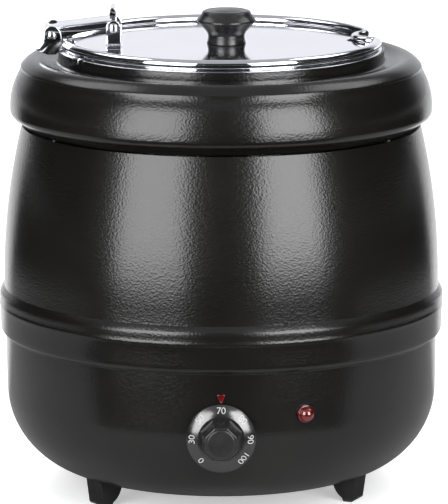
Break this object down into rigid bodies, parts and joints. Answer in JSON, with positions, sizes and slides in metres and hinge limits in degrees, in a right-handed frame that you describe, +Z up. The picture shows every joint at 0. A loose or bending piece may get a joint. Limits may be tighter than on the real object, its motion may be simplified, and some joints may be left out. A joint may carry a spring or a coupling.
{
  "type": "electric soup kettle",
  "caption": "Black round-bellied electric soup kettle with water bath, lift-out pot, link-hinged steel lid, thermostat dial and lamp.",
  "frame": {"origin": "on the floor plane under the kettle's axis, at the centre of its footprint box", "axes": "+Z up along the kettle's axis, -Y towards the dial and the user, +X to the user's right, lid hinge at -X"},
  "size_m": [0.3405, 0.372, 0.3741],
  "materials": {
    "black_enamel": "semi-gloss pebbled powder coat",
    "black_steel": "satin",
    "black_plastic": "semi-gloss",
    "foot_rubber": "matt",
    "stainless": "polished",
    "zinc_steel": "zinc plated",
    "aluminium": "cast, dull",
    "red_lens": "clear red, glossy",
    "pale_plastic": "matt",
    "dark_plastic": "matt",
    "copper": "bright drawn"
  },
  "bodies": {
    "housing": {"base_shell": "black_enamel", "barrel_shell": "black_enamel", "top_cover": "black_enamel", "support_ring": "zinc_steel", "tie_rods": "zinc_steel", "tie_rod_nuts": "zinc_steel", "water_bath": "stainless", "heating_element": "aluminium", "heater_clamp_plate": "zinc_steel", "heater_nuts": "zinc_steel", "heat_shield": "aluminium", "thermostat": "pale_plastic", "thermostat_bracket": "zinc_steel", "thermostat_screws": "zinc_steel", "sensor_bulb": "copper", "bulb_clip": "stainless", "thermal_cutout": "dark_plastic", "terminal_block": "pale_plastic", "lead_wires": "pale_plastic", "indicator_lens": "red_lens", "indicator_body": "pale_plastic", "indicator_nut": "black_plastic", "dial_pointer": "red_lens", "cord_gland": "black_plastic", "gland_cap": "black_plastic", "gland_nut": "zinc_steel", "bottom_plate": "black_steel", "bottom_plate_screws": "zinc_steel", "foot_front_left": "foot_rubber", "foot_front_right": "foot_rubber", "foot_rear": "foot_rubber", "foot_screws": "zinc_steel", "foot_nuts": "zinc_steel"},
    "dial": {"dial_skirt": "black_plastic", "dial_grip": "black_plastic", "dial_spindle": "zinc_steel"},
    "pot": {"inner_pot": "stainless"},
    "ring": {"lid_ring": "stainless", "hinge_bracket": "stainless", "outer_rivet_pin": "stainless"},
    "link": {"hinge_link": "stainless"},
    "lid": {"lid_plate": "stainless", "lid_ears": "stainless", "inner_rivet_pin": "stainless", "lid_knob": "black_plastic", "knob_screw": "zinc_steel"}
  },
  "joints": [
    {"name": "dial_turn", "type": "hinge", "parent": "housing", "child": "dial", "pos_m": [0, -0.166, 0.0762], "axis": [0, -1, 0], "range_deg": [-137, 130]},
    {"name": "pot_lift", "type": "slide", "parent": "housing", "child": "pot", "axis": [0, 0, 1], "range_m": [0, 0.27]},
    {"name": "ring_lift", "type": "slide", "parent": "pot", "child": "ring", "axis": [0, 0, 1], "range_m": [0, 0.08]},
    {"name": "link_hinge", "type": "hinge", "parent": "ring", "child": "link", "pos_m": [-0.1284, 0, 0.3538], "axis": [0, -1, 0], "range_deg": [0, 98]},
    {"name": "lid_hinge", "type": "hinge", "parent": "link", "child": "lid", "pos_m": [-0.08154, 0, 0.35947], "axis": [0, -1, 0], "range_deg": [0, 12]}
  ],
  "couplings": [
    {"joint": "lid_hinge", "follows": "link_hinge", "ratio": 0.12}
  ]
}
